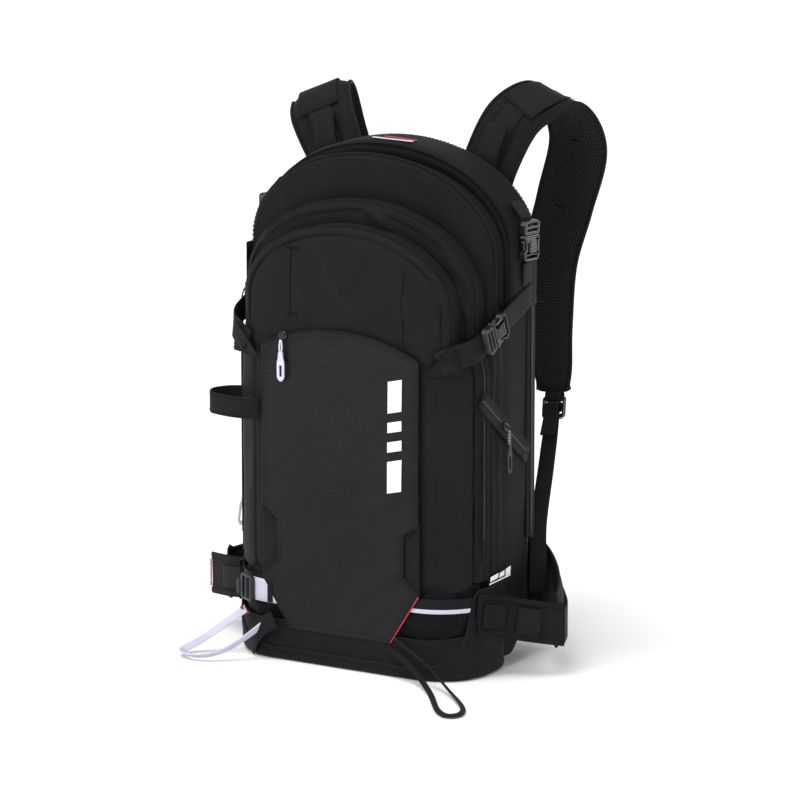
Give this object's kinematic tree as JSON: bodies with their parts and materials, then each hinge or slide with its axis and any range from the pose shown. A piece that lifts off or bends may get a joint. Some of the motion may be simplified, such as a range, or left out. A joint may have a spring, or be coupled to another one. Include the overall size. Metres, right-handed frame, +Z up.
{
  "type": "avalanche airbag backpack",
  "caption": "Tall ski touring pack with an airbag round its top rim, layered zipped pockets, padded shoulder straps, hip belt, gas cartridge and pull trigger.",
  "frame": {"origin": "centre of the flat base, on the ground", "axes": "+Z up; +Y from the pack towards the wearer's back; +X to the wearer's right"},
  "size_m": [0.4436, 0.3725, 0.6148],
  "materials": {
    "body_nylon": "woven ripstop nylon",
    "pocket_nylon": "plain woven nylon",
    "coated_fabric": "coated, soft sheen",
    "boot_nylon": "heavy woven nylon",
    "webbing_black": "woven webbing",
    "webbing_white": "woven webbing",
    "pad_foam": "mesh over foam",
    "airbag_fabric": "coated nylon, folded",
    "plastic_black": "moulded",
    "plastic_matte": "moulded",
    "zip_coil": "moulded coil",
    "slider_metal": "black lacquer",
    "pull_black": "moulded",
    "pull_white": "moulded, soft",
    "sheet_plastic": "extruded sheet",
    "alloy": "satin",
    "cartridge_paint": "anodised",
    "valve_alloy": "anodised",
    "hose_rubber": "smooth",
    "trigger_plastic": "moulded"
  },
  "bodies": {
    "pack": {"main_shell": "body_nylon", "front_pocket": "body_nylon", "airbag_housing": "body_nylon", "airbag_cover": "body_nylon", "back_door": "body_nylon", "tool_pocket": "pocket_nylon", "coated_panel": "coated_fabric", "base_boot": "boot_nylon", "harness_webbings": "webbing_black", "side_webbings": "webbing_black", "ski_loop": "webbing_black", "grab_handle": "webbing_black", "stabilisers": "webbing_black", "ice_axe_loop": "webbing_black", "ski_carry_strap": "webbing_white", "ski_carry_loop": "webbing_white", "back_pads": "pad_foam", "shoulder_strap_right": "pad_foam", "shoulder_strap_left": "pad_foam", "airbag": "airbag_fabric", "side_buckle_female_right": "plastic_black", "side_buckle_female_left": "plastic_black", "rim_buckle_female_right": "plastic_black", "rim_buckle_female_left": "plastic_black", "load_lifter_locks": "plastic_black", "ski_carry_lock": "plastic_black", "inflation_unit": "plastic_matte", "zipper_chains": "zip_coil", "frame_sheet": "sheet_plastic", "frame_stays": "alloy", "valve_head": "valve_alloy", "gas_hose": "hose_rubber", "trigger_cable": "hose_rubber"},
    "side_clip_right": {"side_buckle_male_right": "plastic_black"},
    "side_clip_left": {"side_buckle_male_left": "plastic_black"},
    "rim_clip_right": {"rim_buckle_male_right": "plastic_black"},
    "rim_clip_left": {"rim_buckle_male_left": "plastic_black"},
    "sternum_strap": {"sternum_webbing_left": "webbing_black", "sternum_buckle_female": "plastic_black"},
    "sternum_clip": {"sternum_webbing_right": "webbing_black", "sternum_buckle_male": "plastic_black"},
    "hip_side_right": {"hip_wing_right": "pad_foam", "hip_webbing_right": "webbing_black", "hip_buckle_female": "plastic_black"},
    "hip_side_left": {"hip_wing_left": "pad_foam", "hip_webbing_left": "webbing_black", "hip_buckle_male": "plastic_black"},
    "lower_lock_right": {"lower_ladder_lock_right": "plastic_black"},
    "lower_lock_left": {"lower_ladder_lock_left": "plastic_black"},
    "side_pocket_slide": {"side_pocket_slider": "slider_metal"},
    "side_pocket_tab": {"side_pocket_pull": "pull_black"},
    "tool_pocket_slide": {"tool_pocket_slider": "slider_metal"},
    "tool_pocket_tab": {"tool_pocket_pull": "pull_white"},
    "main_upper_slide": {"main_zip_upper_slider": "slider_metal"},
    "main_upper_tab": {"main_zip_upper_pull": "pull_black"},
    "main_lower_slide": {"main_zip_lower_slider": "slider_metal"},
    "main_lower_tab": {"main_zip_lower_pull": "pull_white"},
    "cartridge": {"gas_cartridge": "cartridge_paint"},
    "lever": {"release_lever": "valve_alloy"},
    "trigger": {"trigger_handle": "trigger_plastic"}
  },
  "joints": [
    {"name": "side_release_right", "type": "slide", "parent": "pack", "child": "side_clip_right", "axis": [0, -0.9292, -0.3697], "range_m": [0, 0.022]},
    {"name": "side_release_left", "type": "slide", "parent": "pack", "child": "side_clip_left", "axis": [0, -0.9292, -0.3697], "range_m": [0, 0.022]},
    {"name": "rim_release_right", "type": "slide", "parent": "pack", "child": "rim_clip_right", "axis": [0, 0.0499, 0.9988], "range_m": [0, 0.022]},
    {"name": "rim_release_left", "type": "slide", "parent": "pack", "child": "rim_clip_left", "axis": [0, 0.0499, 0.9988], "range_m": [0, 0.022]},
    {"name": "sternum_height", "type": "slide", "parent": "pack", "child": "sternum_strap", "axis": [0, 0.0995, 0.995], "range_m": [-0.02, 0.035]},
    {"name": "sternum_release", "type": "slide", "parent": "sternum_strap", "child": "sternum_clip", "axis": [1, 0, 0], "range_m": [0, 0.022]},
    {"name": "hip_swing_right", "type": "hinge", "parent": "pack", "child": "hip_side_right", "pos_m": [0.106, 0.123, 0.078], "axis": [0, 0, 1], "range_deg": [0, 25]},
    {"name": "hip_swing_left", "type": "hinge", "parent": "pack", "child": "hip_side_left", "pos_m": [-0.106, 0.123, 0.078], "axis": [0, 0, -1], "range_deg": [0, 25]},
    {"name": "lower_lock_tilt_right", "type": "hinge", "parent": "pack", "child": "lower_lock_right", "pos_m": [0.1285, 0.1708, 0.2681], "axis": [1, 0, 0], "range_deg": [0, 30]},
    {"name": "lower_lock_tilt_left", "type": "hinge", "parent": "pack", "child": "lower_lock_left", "pos_m": [-0.1285, 0.1708, 0.2681], "axis": [1, 0, 0], "range_deg": [0, 30]},
    {"name": "side_zip_slide", "type": "slide", "parent": "pack", "child": "side_pocket_slide", "axis": [0, 0.788, -0.6157], "range_m": [-0.05, 0.05]},
    {"name": "side_tab_swing", "type": "hinge", "parent": "side_pocket_slide", "child": "side_pocket_tab", "pos_m": [0.1573, 0.02555, 0.26166], "axis": [1, 0, 0], "range_deg": [-70, 70]},
    {"name": "tool_zip_slide", "type": "hinge", "parent": "pack", "child": "tool_pocket_slide", "pos_m": [0, -0.062, 0.15196], "axis": [0, 1, 0], "range_deg": [-5, 40]},
    {"name": "tool_tab_swing", "type": "hinge", "parent": "tool_pocket_slide", "child": "tool_pocket_tab", "pos_m": [-0.069, -0.0673, 0.35169], "axis": [0, 1, 0], "range_deg": [-70, 70]},
    {"name": "main_upper_zip_slide", "type": "slide", "parent": "pack", "child": "main_upper_slide", "axis": [0, 0, 1], "range_m": [0, 0.045]},
    {"name": "main_upper_tab_swing", "type": "hinge", "parent": "main_upper_slide", "child": "main_upper_tab", "pos_m": [-0.1574, 0.0015, 0.387], "axis": [-1, 0, 0], "range_deg": [-15, 60]},
    {"name": "main_lower_zip_slide", "type": "slide", "parent": "pack", "child": "main_lower_slide", "axis": [0, 0, 1], "range_m": [-0.02, 0.08]},
    {"name": "main_lower_tab_swing", "type": "hinge", "parent": "main_lower_slide", "child": "main_lower_tab", "pos_m": [-0.1574, 0.0015, 0.174], "axis": [1, 0, 0], "range_deg": [-60, 60]},
    {"name": "cartridge_turn", "type": "hinge", "parent": "pack", "child": "cartridge", "pos_m": [-0.1, 0.042, 0.15], "axis": [0, 0, 1], "continuous": true},
    {"name": "trigger_pull", "type": "slide", "parent": "pack", "child": "trigger", "axis": [0, 0, -1], "range_m": [0, 0.04]},
    {"name": "lever_turn", "type": "hinge", "parent": "pack", "child": "lever", "pos_m": [-0.1, 0.0643, 0.28], "axis": [0, -1, 0], "range_deg": [0, 35]}
  ],
  "couplings": [
    {"joint": "lever_turn", "follows": "trigger_pull", "rad_per_m": 15}
  ]
}
